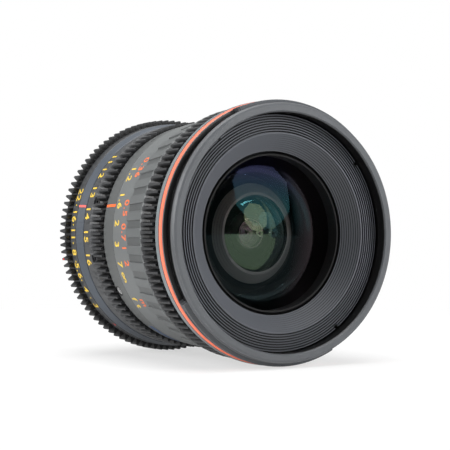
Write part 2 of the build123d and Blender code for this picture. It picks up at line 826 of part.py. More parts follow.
def zoom_control(cam_front):
    band = toothed_band(zoom_teeth, zoom_front, zoom_teeth_end, zoom_bore, zoom_runout)
    tail = turned([
        (zoom_bore, zoom_runout_end),
        (zoom_band_r, zoom_runout_end),
        (zoom_band_r, zoom_rear - edge_break),
        (zoom_band_r - edge_break, zoom_rear),
        (zoom_bore, zoom_rear),
    ])
    body = Part() + band + tail - zoom_key_block()
    grub_y = zoom_rear - zoom_grub_forward
    top = zoom_band_r - zoom_grub_sink
    grubs = []
    for a in zoom_grub_angles:
        body -= radial_pin(zoom_grub_r, top - zoom_grub_len, zoom_band_r + module, grub_y, a)
        socket = radial_pin(zoom_grub_r / 2, top - zoom_grub_socket, top + 1, grub_y, a)
        grubs.append(radial_pin(zoom_grub_r, top - zoom_grub_len, top, grub_y, a) - socket)
    keep("zoom_ring", body)
    keep("zoom_grub_screws", Compound(children=[g.solid() for g in grubs]))
    cam = tube(cam_in, cam_out, cam_front, flange_front - cam_side_gap) - zoom_key_block()
    for a in roller_angles:
        cam -= cam_slot(cam_in - 1, cam_out + 1, variator_y, a, zoom_turn, variator_lead)
    for a in relay_roller_angles:
        cam -= cam_slot(cam_in - 1, cam_out + 1, relay_y, a, zoom_turn, relay_lead)
    keep("cam_tube", cam)
    keep("zoom_key", zoom_key_block())


def variator_group():
    ahead, behind = doublet(variator_land, variator_first, variator_second, variator_rim_r, variator_clear_r,
                            ("variator_element_1", "variator_element_2"))
    bore = variator_rim_r + glass_fit
    cell_front = variator_y - variator_ahead
    cell_rear = variator_y + variator_behind
    cell = turned([
        (bore, cell_front),
        (inner_cell_r, cell_front),
        (inner_cell_r, cell_rear),
        (bore, cell_rear),
        (bore, variator_land[1]),
        (variator_clear_r, variator_land[1]),
        (variator_clear_r, variator_land[0]),
        (bore, variator_land[0]),
    ])
    for a in roller_angles:
        cell -= radial_pin(roller_r, inner_cell_r - pin_root_depth, inner_cell_r + 1, variator_y, a)
    keep("variator_cell", cell)
    rings("variator_retainers", variator_clear_r, bore,
          ((ahead - inner_retainer_len, ahead), (behind, behind + inner_retainer_len)))
    rollers("variator_pins", inner_cell_r - pin_root_depth, pin_tip_r, variator_y, roller_angles)


def relay_group():
    ahead, behind = doublet(relay_land, relay_first, relay_second, relay_rim_r, relay_clear_r,
                            ("relay_element_1", "relay_element_2"))
    bore = relay_rim_r + glass_fit
    cell_front = relay_y - relay_ahead
    cell_rear = relay_y + relay_behind
    cell = turned([
        (bore, cell_front),
        (relay_cell_r, cell_front),
        (relay_cell_r, cell_rear),
        (bore, cell_rear),
        (bore, relay_land[1]),
        (relay_clear_r, relay_land[1]),
        (relay_clear_r, relay_land[0]),
        (bore, relay_land[0]),
    ])
    half = relay_pad_len / 2
    for a in relay_roller_angles:
        cell += sector(relay_cell_r - relay_pad_root, inner_cell_r, relay_y - half, relay_y + half,
                       a - relay_pad_half, a + relay_pad_half)
    for a in relay_roller_angles:
        cell -= radial_pin(roller_r, inner_cell_r - pin_root_depth, inner_cell_r + 1, relay_y, a)
    keep("relay_cell", cell)
    rings("relay_retainers", relay_clear_r, bore,
          ((ahead - inner_retainer_len, ahead), (behind, behind + inner_retainer_len)))
    rollers("relay_pins", inner_cell_r - pin_root_depth, pin_tip_r, relay_y, relay_roller_angles)


def blade_point(r, angle, shut):
    """A point of the open blade, after the blade has shut by the given angle about its pivot."""
    x = r * math.cos(math.radians(angle)) - blade_pivot_r
    z = r * math.sin(math.radians(angle))
    c = math.cos(math.radians(shut))
    s = math.sin(math.radians(shut))
    return (blade_pivot_r + x * c - z * s, x * s + z * c)


def axial_pin(radius, x, z, y0, y1):
    return Pos(x, (y0 + y1) / 2, z) * Rot(90, 0, 0) * Cylinder(radius, y1 - y0)


def strut(p, q, radius, y0, y1):
    """A flat bar with round ends between two (x, z) points."""
    dx = q[0] - p[0]
    dz = q[1] - p[1]
    middle = Pos((p[0] + q[0]) / 2, (y0 + y1) / 2, (p[1] + q[1]) / 2)
    bar = middle * Rot(0, -math.degrees(math.atan2(dz, dx)), 0) * Box(math.hypot(dx, dz), y1 - y0, 2 * radius)
    return bar + axial_pin(radius, *p, y0, y1) + axial_pin(radius, *q, y0, y1)


def blade(index):
    y0 = blade_first + index * blade_pitch
    y1 = y0 + blade_thick
    pivot = (blade_pivot_r, 0.0)
    drive = blade_point(*blade_drive, 0.0)
    strip = sector(blade_open_r, blade_open_r + blade_width, y0, y1, *blade_span)
    body = strip + strut(pivot, (blade_open_r + blade_width / 2, 0.0), blade_ear_r, y0, y1)
    body += strut(pivot, drive, blade_arm_r, y0, y1)
    body += axial_pin(blade_pin_r, *pivot, case_front + blade_pin_end_gap, y0)
    body += axial_pin(blade_pin_r, *drive, y1, drive_rear - blade_pin_end_gap)
    shut = Pos(blade_pivot_r, 0, 0) * Rot(0, -blade_rest, 0) * Pos(-blade_pivot_r, 0, 0) * body
    return around(index * 360 / blade_count) * shut


def drive_slot(turn0):
    """The curved slot that one drive pin follows, seen from the drive ring at rest."""
    half = blade_pin_r + pin_fit
    high = (iris_turn[1] - iris_turn[0]) * blade_ratio
    line = []
    for i in range(slot_steps + 1):
        shut = high * i / slot_steps
        x, z = blade_point(*blade_drive, shut)
        angle = math.atan2(z, x) - math.radians(shut / blade_ratio - iris_turn[1] - turn0)
        line.append((math.hypot(x, z) * math.cos(angle), math.hypot(x, z) * math.sin(angle)))
    sides = ([], [])
    for i, (x, z) in enumerate(line):
        ax, az = line[max(i - 1, 0)]
        bx, bz = line[min(i + 1, slot_steps)]
        span = math.hypot(bx - ax, bz - az)
        nx, nz = -(bz - az) / span * half, (bx - ax) / span * half
        sides[0].append((x + nx, z + nz))
        sides[1].append((x - nx, z - nz))
    outline = [Vector(x, drive_front - 1, z) for x, z in sides[0] + sides[1][::-1]]
    face = Face(Wire.make_polygon(outline, close=True))
    depth = drive_rear - drive_front + 2
    body = Part() + Solid.extrude(face, Vector(0, depth, 0))
    for x, z in (line[0], line[-1]):
        body += axial_pin(half, x, z, drive_front - 1, drive_front - 1 + depth)
    return body


def lever_block():
    middle = Pos((lever_r[0] + lever_tip_r) / 2, (lever_arm[0] + lever_arm[1]) / 2, 0)
    return around(lever_angle) * middle * Box(lever_tip_r - lever_r[0], lever_arm_len, lever_wide)


def iris_unit():
    case = tube(case_mouth_r, guide_bore, case_front, case_front + case_plate)
    case += tube(guide_bore - case_wall, guide_bore, case_front, case_rear)
    drive = tube(drive_mouth_r, inner_cell_r, drive_front, drive_rear)
    for i in range(blade_count):
        a = i * 360 / blade_count
        x, _, z = ring_point(blade_pivot_r, a, 0)
        case -= axial_pin(blade_pin_r + pin_fit, x, z, case_front + pin_fit, case_front + case_plate + 1)
        drive -= drive_slot(a)
        keep(f"iris_blade_{i + 1}", blade(i))
    keep("iris_case", case)
    keep("iris_drive_ring", drive)
    clip_front = drive_rear + clip_gap
    clip_rear = clip_front + clip_len
    keep("iris_clip", sector(guide_bore - case_wall, guide_bore, clip_front, clip_rear, *clip_span))
    bar_end = lever_arm[1]
    bar = Pos((lever_r[0] + lever_r[1]) / 2, (drive_rear + bar_end) / 2, 0) \
        * Box(lever_r[1] - lever_r[0], bar_end - drive_rear, lever_wide)
    keep("iris_lever", around(lever_angle) * bar + lever_block())
    teeth = toothed_band(iris_teeth, iris_teeth_front, iris_rear, iris_bore)
    band = turned([
        (iris_bore, iris_front),
        (iris_band_r - edge_break, iris_front),
        (iris_band_r, iris_front + edge_break),
        (iris_band_r, iris_teeth_front),
        (iris_bore, iris_teeth_front),
    ])
    keep("iris_ring", Part() + teeth + band - lever_block())


def rear_body():
    housing = turned([
        (housing_in_r, guide_rear),
        (iris_sleeve_r, guide_rear),
        (iris_sleeve_r, housing_rear),
        (housing_flange_r, housing_rear),
        (housing_flange_r, housing_rear - housing_flange_len),
        (housing_in_r, housing_rear - housing_flange_len),
    ])
    housing -= sector(housing_in_r - 1, iris_sleeve_r + 1,
                      lever_arm[0] - lever_room, lever_arm[1] + lever_room,
                      lever_angle - iris_turn[1] - lever_window, lever_angle - iris_turn[0] + lever_window)
    shim = tube(housing_flange_r, iris_sleeve_r - shim_step, housing_rear, mount_front)
    mount = turned([
        (rear_cell_r, mount_front),
        (mount_plate_r, mount_front),
        (mount_plate_r, mount_back - 2 * edge_break),
        (mount_plate_r - 2 * edge_break, mount_back),
        (neck_r, mount_back),
        (neck_r, seat_y),
        (spigot_r, seat_y),
        (spigot_r, seat_y + spigot_len - spigot_bevel),
        (spigot_r - spigot_bevel, seat_y + spigot_len),
        (spigot_in, seat_y + spigot_len),
        (spigot_in, mount_back),
        (rear_cell_r, mount_back),
    ])
    for a in ear_angles:
        mount += sector(neck_r - ear_root, ear_r, seat_y - ear_thick, seat_y, a - ear_half, a + ear_half)
    notch = Pos(ear_r, seat_y - ear_thick / 2, 0) * Box(2 * ear_notch_deep, ear_thick + 1, ear_notch_wide)
    mount -= around(ear_angles[0]) * notch
    screws = []
    for a in mount_screw_angles:
        x, _, z = ring_point(mount_screw_pcd_r, a, 0)
        head_deep = mount_screw_head_r - mount_screw_r
        cone = Pos(x, mount_back - head_deep / 2, z) * Rot(90, 0, 0) \
            * Cone(mount_screw_head_r, mount_screw_r, head_deep)
        shank = axial_pin(mount_screw_r, x, z, mount_back - mount_screw_len, mount_back - head_deep)
        cut = cone + shank
        housing -= cut
        shim -= cut
        mount -= cut
        drive = Pos(x, mount_back, z) * around(a) * Box(*mount_screw_slot)
        screws.append(cut - drive)
    keep("rear_housing", housing)
    keep("mount_shim", shim)
    keep("lens_mount", mount)
    keep("mount_screws", Compound(children=[s.solid() for s in screws]))
    keep("rear_baffle", tube(rear_cell_r, spigot_in, rear_baffle_y, rear_baffle_y + rear_baffle_thick))
    ahead, behind = doublet(rear_land, rear_first, rear_second, rear_rim_r, rear_clear_r,
                            ("rear_element_1", "rear_element_2"))
    bore = rear_rim_r + glass_fit
    cell_front = mount_front - rear_cell_step
    cell_end = seat_y + rear_cell_len
    keep("rear_cell", turned([
        (bore, cell_front),
        (rear_flange_r, cell_front),
        (rear_flange_r, mount_front),
        (rear_cell_r, mount_front),
        (rear_cell_r, cell_end - 2 * edge_break),
        (rear_cell_r - 2 * edge_break, cell_end),
        (bore, cell_end),
        (bore, rear_land[1]),
        (rear_clear_r, rear_land[1]),
        (rear_clear_r, rear_land[0]),
        (bore, rear_land[0]),
    ]))
    rings("rear_retainers", rear_clear_r, bore,
          ((ahead - rear_retainer_len, ahead), (behind, behind + rear_retainer_len)))


if __name__ == "__main__":
    front_housing()
    fixed_barrel()
    focus_control()
    web = front_group()
    zoom_control(guide(web))
    variator_group()
    relay_group()
    iris_unit()
    rear_body()
    os.makedirs("parts", exist_ok=True)
    for name, shape in pieces.items():
        export_step(shape, f"parts/{name}.step")
        print(name, round(shape.volume, 1), len(shape.solids()))
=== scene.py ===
# %% [markdown]
# # A wide-angle zoom lens on a white table
#
# The lens comes in as a fixed frame: every turned ring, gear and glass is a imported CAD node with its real
# size. This script gives each of them a finish, adds what is painted, engraved or too fine for the solids,
# and lights the whole as a product photograph.
#
# The lens lies along Y, with its front towards -Y. A place on it is given by a station, which is the Y
# value, a radius from the axis, and an angle from +X towards +Z. Blender counts in metres. Sizes on the lens
# are written in millimetres and multiplied by MM, and those of the studio are in metres.

# %% Load the frame
import json
import math

import bmesh
import bpy
from mathutils import Matrix, Vector

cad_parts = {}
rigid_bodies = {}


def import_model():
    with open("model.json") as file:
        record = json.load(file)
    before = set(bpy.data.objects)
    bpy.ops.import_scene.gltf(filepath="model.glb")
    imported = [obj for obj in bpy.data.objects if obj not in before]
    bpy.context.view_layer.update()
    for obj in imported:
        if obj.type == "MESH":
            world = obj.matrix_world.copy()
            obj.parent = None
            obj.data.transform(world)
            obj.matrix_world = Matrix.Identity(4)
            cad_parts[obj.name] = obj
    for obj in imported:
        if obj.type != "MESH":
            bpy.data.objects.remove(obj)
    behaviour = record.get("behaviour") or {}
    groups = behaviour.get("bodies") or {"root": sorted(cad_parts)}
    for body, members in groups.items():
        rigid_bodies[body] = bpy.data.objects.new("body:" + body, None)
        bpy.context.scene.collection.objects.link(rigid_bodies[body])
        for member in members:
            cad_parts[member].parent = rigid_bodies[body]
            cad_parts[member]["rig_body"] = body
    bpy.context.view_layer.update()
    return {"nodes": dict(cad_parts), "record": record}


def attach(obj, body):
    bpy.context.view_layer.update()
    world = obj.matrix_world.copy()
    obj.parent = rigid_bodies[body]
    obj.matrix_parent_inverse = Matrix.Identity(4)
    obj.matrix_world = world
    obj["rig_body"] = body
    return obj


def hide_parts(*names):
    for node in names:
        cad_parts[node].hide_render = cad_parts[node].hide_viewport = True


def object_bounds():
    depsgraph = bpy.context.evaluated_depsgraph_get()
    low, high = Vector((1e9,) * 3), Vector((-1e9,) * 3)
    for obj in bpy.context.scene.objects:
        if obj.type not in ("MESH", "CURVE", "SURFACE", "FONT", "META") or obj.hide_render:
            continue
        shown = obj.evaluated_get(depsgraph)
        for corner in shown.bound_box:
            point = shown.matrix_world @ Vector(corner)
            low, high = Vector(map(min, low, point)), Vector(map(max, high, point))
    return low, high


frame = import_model()
nodes = frame["nodes"]
scene = bpy.context.scene
MM = 0.001

# %% [markdown]
# ## The camera
#
# The photograph was taken from the front and the left, level with the lens, and from far enough away that
# its rings look nearly round. The camera is given as a place and a direction, fitted to the edges of the
# rings. It comes before the materials, so that each finish is judged from the right place.

# %% Place the camera
def add_object(name, data):
    """Puts a camera, lamp, curve or mesh into the scene, at the origin."""
    made = bpy.data.objects.new(name, data)
    scene.collection.objects.link(made)
    return made


def aim(thing, direction):
    """Turns a camera or lamp, both of which look along their own -Z, to a direction."""
    thing.rotation_mode = "QUATERNION"
    thing.rotation_quaternion = direction.to_track_quat("-Z", "Y")


CAMERA_PLACE = Vector((-202.6, -397.1, -4.4)) * MM
CAMERA_LOOK = Vector((0.5071, 0.8617, 0.0187))
FOCAL_LENGTH = 92.8
SENSOR = 36.0
NEAREST_SEEN, FARTHEST_SEEN = 10 * MM, 50
camera = add_object("camera", bpy.data.cameras.new("camera"))
camera.data.lens = FOCAL_LENGTH
camera.data.sensor_width = SENSOR
camera.data.clip_start = NEAREST_SEEN
camera.data.clip_end = FARTHEST_SEEN
camera.location = CAMERA_PLACE
aim(camera, CAMERA_LOOK)
scene.camera = camera
print("camera", FOCAL_LENGTH, "mm at", [round(v / MM) for v in CAMERA_PLACE], "mm")

# %% [markdown]
# ## Node helpers
#
# Every finish is a small network of procedural nodes. One helper adds a node and fills its sockets, so a
# material reads like a sentence. The others each make one step that most finishes need.

# %% Helpers for shader nodes
def add_node(tree, kind, inputs=(), **settings):
    """Adds a shader node. Inputs are pairs of a socket and a value or another socket."""
    made = tree.nodes.new("ShaderNode" + kind)
    for key, value in settings.items():
        setattr(made, key, value)
    for socket, value in inputs:
        if isinstance(value, bpy.types.NodeSocket):
            tree.links.new(value, made.inputs[socket])
        else:
            made.inputs[socket].default_value = value
    return made


def maths(tree, operation, *values):
    """One arithmetic step on numbers or sockets."""
    return add_node(tree, "Math", list(enumerate(values)), operation=operation).outputs[0]


def squares(tree, first, second):
    """The sum of two squares."""
    return maths(tree, "ADD", maths(tree, "MULTIPLY", first, first), maths(tree, "MULTIPLY", second, second))


def noise(tree, vector, scale, detail=2.0, roughness=0.5):
    """Cloudy noise between 0 and 1, about 0.5 on average."""
    inputs = [("Vector", vector), ("Scale", scale), ("Detail", detail), ("Roughness", roughness)]
    return add_node(tree, "TexNoise", inputs).outputs[0]


def remap(tree, value, low, high, to_low=0.0, to_high=1.0):
    """Stretches a range of a value onto another range, clamped at both ends."""
    ends = [("From Min", low), ("From Max", high), ("To Min", to_low), ("To Max", to_high)]
    return add_node(tree, "MapRange", [("Value", value), *ends]).outputs[0]


NOISE_SPAN = 0.3, 0.7
print("most of a noise lies within", NOISE_SPAN)

# %% [markdown]
# ## Colours
#
# A finish is built up in layers. Each layer takes the colour so far and blends another one in, or makes it
# lighter or darker, and the last result goes into the shader.

# %% Helpers for colours
MIX_FACTOR, MIX_FIRST, MIX_SECOND = 0, 6, 7
MIX_RESULT = 2


def blend_colours(tree, factor, first, second):
    """Mixes two colours, each a socket or an RGB triple."""
    mix = add_node(tree, "Mix", data_type="RGBA")
    for socket, value in ((MIX_FACTOR, factor), (MIX_FIRST, first), (MIX_SECOND, second)):
        if isinstance(value, bpy.types.NodeSocket):
            tree.links.new(value, mix.inputs[socket])
        else:
            mix.inputs[socket].default_value = value if socket == MIX_FACTOR else (*value, 1.0)
    return mix.outputs[MIX_RESULT]


def dim_colour(tree, colour, factor):
    """Makes a colour lighter or darker by a factor."""
    return add_node(tree, "VectorMath", [(0, colour), (3, factor)], operation="SCALE").outputs["Vector"]


def start_material(name):
    """An empty material with its Principled shader."""
    material = bpy.data.materials.new(name)
    material.use_nodes = True
    return material, material.node_tree, material.node_tree.nodes["Principled BSDF"]


def colour_so_far(material):
    """The tree of a material, the shader's colour socket, and what feeds it."""
    socket = material.node_tree.nodes["Principled BSDF"].inputs["Base Color"]
    return material.node_tree, socket, socket.links[0].from_socket


print("colours go into sockets", MIX_FIRST, "and", MIX_SECOND, "of a Mix node")

# %% [markdown]
# ## Coordinates of a turned part
#
# Lathe marks, painted bands and worn lips follow the radius and the angle round the lens axis, and not X
# and Z. A UV map could carry them. Worked out from Object coordinates, they need no unwrapping, are in real
# millimetres, and stay on the part when it turns or slides.

# %% Helpers for places on the lens
def lens_coordinates(tree):
    """The point itself, and its radius, angle and station along the lens axis, in metres and radians."""
    point = add_node(tree, "TexCoord").outputs["Object"]
    x, y, z = add_node(tree, "SeparateXYZ", [(0, point)]).outputs
    return point, maths(tree, "SQRT", squares(tree, x, z)), maths(tree, "ARCTAN2", z, x), y


def within(tree, value, low, high):
    """1 where a value lies between two limits in millimetres, 0 elsewhere."""
    above = maths(tree, "GREATER_THAN", value, low * MM)
    return maths(tree, "MULTIPLY", above, maths(tree, "LESS_THAN", value, high * MM))


ANYWHERE = (-200, 200)
print("a band without limits spans", ANYWHERE, "mm")

# %% [markdown]
# ## Anodised metal
#
# The rings are aluminium, turned on a lathe, blasted with fine beads and anodised. Close up that shows as a
# fine grain, faint rings from the tool, a little cloudiness where hands have been, and bare bright metal on
# the edges that get knocked. That bare metal is also a painted highlight: it lies faintly along every edge,
# for the light lines that edges catch. The Bevel node finds those edges: where it rounds the normal, the
# metal is rubbed bare and painted bright.
# A photograph of metal would blur close up, and noise of the right size doesn't.

# %% Rubbed edges with painted highlights, scuffs and relief
BLAST_GRAIN = 1 / (0.16 * MM)
LATHE_PITCH = 1 / (0.12 * MM)
HAND_MARKS = 1 / (9 * MM)
RUB_AND_HIGHLIGHT_PATCHES = 1 / (2.4 * MM)
SCUFF_SPECKS = 1 / (0.55 * MM)
RUBBED_AREAS = 1 / (14 * MM)
RELIEF_DEPTH = 0.004 * MM
LATHE_STRETCH = 1e-4
BEVEL_SAMPLES = 4
# Edges: bare metal that is rubbed bare, and also a painted highlight; the lowest patch share keeps a faint
# painted highlight on every edge.
RUB_AND_HIGHLIGHT_STARTS, RUB_AND_HIGHLIGHT_IS_FULL = 0.985, 0.93
PATCH_SPAN, FAINT_HIGHLIGHT_FLOOR = (0.5, 0.66), 0.25
SPECK_SPAN = 0.68, 0.76
RUBBED_SPAN = 0.5, 0.68


def rubbed_and_lit_edges(tree, point, edge):
    """Up to 1 on a rounded edge: bare metal, rubbed bare and also a painted highlight. Less in some patches,
    but every edge keeps a faint painted highlight.
    """
    rounded = add_node(tree, "Bevel", [("Radius", edge * MM)], samples=BEVEL_SAMPLES).outputs[0]
    true_normal = add_node(tree, "NewGeometry").outputs["Normal"]
    along = add_node(tree, "VectorMath", [(0, rounded), (1, true_normal)], operation="DOT_PRODUCT")
    edges = remap(tree, along.outputs["Value"], RUB_AND_HIGHLIGHT_STARTS, RUB_AND_HIGHLIGHT_IS_FULL)
    blotches = noise(tree, point, RUB_AND_HIGHLIGHT_PATCHES, detail=5.0, roughness=0.7)
    patches = remap(tree, blotches, *PATCH_SPAN, FAINT_HIGHLIGHT_FLOOR, 1.0)
    return maths(tree, "MULTIPLY", edges, patches)


def scuff_marks(tree, point):
    """Small bare specks, only where the ring was rubbed."""
    specks = remap(tree, noise(tree, point, SCUFF_SPECKS, detail=3.0, roughness=0.6), *SPECK_SPAN)
    rubbed = remap(tree, noise(tree, point, RUBBED_AREAS), *RUBBED_SPAN)
    return maths(tree, "MULTIPLY", specks, rubbed)


def tool_rings(tree, radius, angle, station):
    """Fine rings left by the lathe: a noise drawn out so far along the angle that it closes on itself."""
    drawn_out = maths(tree, "MULTIPLY", angle, LATHE_STRETCH)
    place = add_node(tree, "CombineXYZ", [(0, radius), (1, station), (2, drawn_out)])
    return noise(tree, place.outputs[0], LATHE_PITCH, detail=3.0, roughness=0.6)


print("grain", round(1 / BLAST_GRAIN / MM, 2), "mm, relief", round(RELIEF_DEPTH / MM, 3), "mm")

# %% Anodised finish
BARE_METAL_AND_HIGHLIGHT = (0.42, 0.42, 0.43)
SATIN = 0.42
HAND_GLOSS = (-0.03, 0.04)
GRAIN_GLOSS = (-0.03, 0.03)


def anodised(name, colour, roughness=SATIN, rub_and_highlight=0.0, grain=0.35, lathe=0.0, edge=0.25, cloud=0.06, zones=(),
             scuffs=0.0):
    """Blasted and anodised aluminium. A zone is a colour with its span of stations and of radii."""
    material, tree, shader = start_material(name)
    point, radius, angle, station = lens_coordinates(tree)
    clouds = remap(tree, noise(tree, point, HAND_MARKS, detail=4.0, roughness=0.6), *NOISE_SPAN)
    fine = noise(tree, point, BLAST_GRAIN)
    tint = colour
    for zone_colour, stations, radii in zones:
        here = maths(tree, "MULTIPLY", within(tree, station, *stations), within(tree, radius, *radii))
        tint = blend_colours(tree, here, tint, zone_colour)
    tint = dim_colour(tree, tint, remap(tree, clouds, 0.0, 1.0, 1 - cloud, 1 + cloud))
    # Bare metal on the edges: rubbed bare, and a painted highlight along every edge.
    if rub_and_highlight:
        rubbed_and_lit = maths(tree, "MULTIPLY", rubbed_and_lit_edges(tree, point, edge), rub_and_highlight)
        tint = blend_colours(tree, rubbed_and_lit, tint, BARE_METAL_AND_HIGHLIGHT)
    if scuffs:
        scuffed = maths(tree, "MULTIPLY", scuff_marks(tree, point), scuffs)
        tint = blend_colours(tree, scuffed, tint, BARE_METAL_AND_HIGHLIGHT)
    tree.links.new(tint, shader.inputs["Base Color"])
    handled = remap(tree, clouds, 0.0, 1.0, *(roughness + change for change in HAND_GLOSS))
    gloss = maths(tree, "ADD", handled, remap(tree, fine, *NOISE_SPAN, *GRAIN_GLOSS))
    tree.links.new(gloss, shader.inputs["Roughness"])
    height = maths(tree, "MULTIPLY", fine, grain)
    if lathe:
        rings = maths(tree, "MULTIPLY", tool_rings(tree, radius, angle, station), lathe)
        height = maths(tree, "ADD", height, rings)
    bump = add_node(tree, "Bump", [("Height", height), ("Strength", 1.0), ("Distance", RELIEF_DEPTH)])
    tree.links.new(bump.outputs[0], shader.inputs["Normal"])
    return material


print("satin metal has a roughness of", SATIN)

# %% [markdown]
# ## Zones of one piece
#
# A real ring is one piece of metal with several surfaces: a lip, a groove, a band anodised in another grey.
# Some zones are painted light: the lip is a lighter grey that stands in for light from the table, and the
# grooves, bores and gaps that lie in shade are painted black. The mesh could be cut at each border and given
# several materials. A zone needs no cut: it names the surface by its span of stations and its span of radii.

# %% Zones that differ in colour
# A zone is a colour, the stations where it starts and ends, and the radii where it starts and ends.
# Painted shade: black laid on grooves, bores, gaps and walls where shade falls.
PAINTED_SHADE_BLACK = (0.003, 0.003, 0.0032)
# Painted shade: near-black for the gaps between gear teeth and round the screw heads.
PAINTED_GAP_SHADE = (0.005, 0.005, 0.0055)
TOOTH_BLACK = (0.022, 0.023, 0.025)
# Painted light: the whole lip is a lighter grey that stands in for light bounced up from the table.
FRONT_LIP_PAINTED_LIGHT = ((0.085, 0.09, 0.097), (-92.8, -90.65), (38.56, 43))
FRONT_RIM = ((0.16, 0.185, 0.195), (-85.06, -82.0), (42.05, 43))
FRONT_LAND = ((0.13, 0.14, 0.15), (-87.44, -85.04), (41.5, 42.1))
# Painted shade: the hood groove, its wall and the filter bore are painted black where they lie in shade.
HOOD_GROOVE = (PAINTED_SHADE_BLACK, (-90.72, -87.4), (39.0, 40.7))
HOOD_GROOVE_WALL = (PAINTED_SHADE_BLACK, (-87.5, -87.4), (39.0, 42.0))
FRONT_BORE = (PAINTED_SHADE_BLACK, (-92.3, -80.0), (30.0, 38.55))
FOCUS_TEETH = (TOOTH_BLACK, (-80.0, -71.3), ANYWHERE)
# Painted shade in the focus gear's tooth gaps.
FOCUS_TOOTH_GAPS = (PAINTED_GAP_SHADE, (-80.0, -72.2), (30.0, 41.0))
FOCUS_SCALE = ((0.13, 0.138, 0.139), (-56.9, -45.0), (38.5, 43))
# Painted shade in the zoom gear's tooth gaps.
ZOOM_TOOTH_GAPS = (PAINTED_GAP_SHADE, (-38.0, -31.0), (30.0, 39.35))
ZOOM_TEETH = (TOOTH_BLACK, (-38.0, -30.2), (39.3, 41))
# Painted shade in the iris gear's tooth gaps.
IRIS_TOOTH_GAPS = (PAINTED_GAP_SHADE, (-14.2, -8.5), (30.0, 42.1))
IRIS_TEETH = (TOOTH_BLACK, (-14.2, -8.5), (42.1, 44))
# Painted shade: inside and outside its grey band the inner ring is painted black, where the gaps lie in
# shade.
INNER_RING_EYE = (PAINTED_SHADE_BLACK, ANYWHERE, (0, 13.5))
INNER_RING_RIM = (PAINTED_SHADE_BLACK, ANYWHERE, (17.4, 20))
FRONT_ZONES = (FRONT_LIP_PAINTED_LIGHT, FRONT_RIM, FRONT_LAND, HOOD_GROOVE, HOOD_GROOVE_WALL, FRONT_BORE)
FOCUS_ZONES = (FOCUS_TEETH, FOCUS_TOOTH_GAPS, FOCUS_SCALE)
print("zones", len(FRONT_ZONES), "on the front ring and", len(FOCUS_ZONES), "on the focus ring")

# %% [markdown]
# ## A finish for every slot
#
# The record sorts the nodes into material slots, and each slot gets one finish. A few rings have a grey or
# zones of their own, so they get their own finish under the name of their node. Brass, steel and the bare
# cells are true metals; an anodised layer is a dark, dyed oxide and is not.

# %% Finishes by slot and by node
finishes = {
    "charcoal_anodised": anodised("charcoal anodised", (0.065, 0.07, 0.077), rub_and_highlight=0.35, lathe=0.3,
                                  zones=FRONT_ZONES, scuffs=0.5),
    "barrel_grey": anodised("barrel grey anodised", (0.084, 0.089, 0.089), rub_and_highlight=0.45, lathe=0.4),
    "gear_black": anodised("gear black anodised", (0.045, 0.047, 0.05), rub_and_highlight=0.15, lathe=0.3),
    "index_blue_grey": anodised("index ring blue-grey", (0.06, 0.072, 0.09), 0.4, rub_and_highlight=0.2, lathe=0.4),
    "inner_black": anodised("inner matte black", (0.006, 0.006, 0.0065), 0.6, grain=0.5),
    "baffle_black": anodised("light trap black", (0.075, 0.08, 0.092), 0.55, grain=0.5, cloud=0.04),
    "accent_red": anodised("accent red", (0.95, 0.2, 0.11), 0.5, rub_and_highlight=0.1, grain=0.2),
    "cell_aluminium": anodised("turned aluminium", (0.4, 0.4, 0.41), 0.35, lathe=0.8),
    "roller_brass": anodised("turned brass", (0.5, 0.33, 0.1), 0.3, lathe=0.8),
    "screw_steel": anodised("blackened steel", (0.03, 0.03, 0.032), 0.3, rub_and_highlight=0.4, edge=0.1),
    "mount_steel": anodised("fine-turned steel", (0.5, 0.5, 0.5), 0.28, lathe=1.0),
    "blade_black": anodised("dry-film black", (0.015, 0.015, 0.016), 0.45, grain=0.2),
}
own_finishes = {
    "barrel_screws": anodised("bright screw steel", (0.3, 0.3, 0.3), 0.35, grain=0.2),
    "second_retainer": anodised("inner ring grey", (0.26, 0.265, 0.27), 0.5, grain=0.5, cloud=0.04,
                                zones=(INNER_RING_EYE, INNER_RING_RIM)),
    "focus_ring": anodised("focus ring grey", (0.105, 0.112, 0.113), rub_and_highlight=0.15, lathe=0.4, zones=FOCUS_ZONES),
    "zoom_ring": anodised("zoom ring dark grey", (0.054, 0.056, 0.059), rub_and_highlight=0.15, lathe=0.3,
                          zones=(ZOOM_TOOTH_GAPS, ZOOM_TEETH)),
    "iris_ring": anodised("iris ring dark grey", (0.045, 0.047, 0.05), rub_and_highlight=0.15, lathe=0.3,
                          zones=(IRIS_TOOTH_GAPS, IRIS_TEETH)),
}
for name in ("cell_aluminium", "roller_brass", "mount_steel"):
    finishes[name].node_tree.nodes["Principled BSDF"].inputs["Metallic"].default_value = 1.0
print("finishes", sorted(finishes), "and", sorted(own_finishes))

# %% [markdown]
# ## Painted shade on the walls of the light traps
#
# The baffle in front of the glass is a stair of fine grooves. Its risers face the axis and lie in shade, so
# the photograph shows them black between grey treads. That shade is painted here: the risers and the floors
# of the flat grooves are coloured black. The direction of a face tells which is which, and that holds for
# every groove at once.

# %% Paint shade on the risers and grooves
RISER, TREAD = 0.55, 0.75
FLAT_GROOVES = ((-87.9, -86.0), (32.2, 37.6))


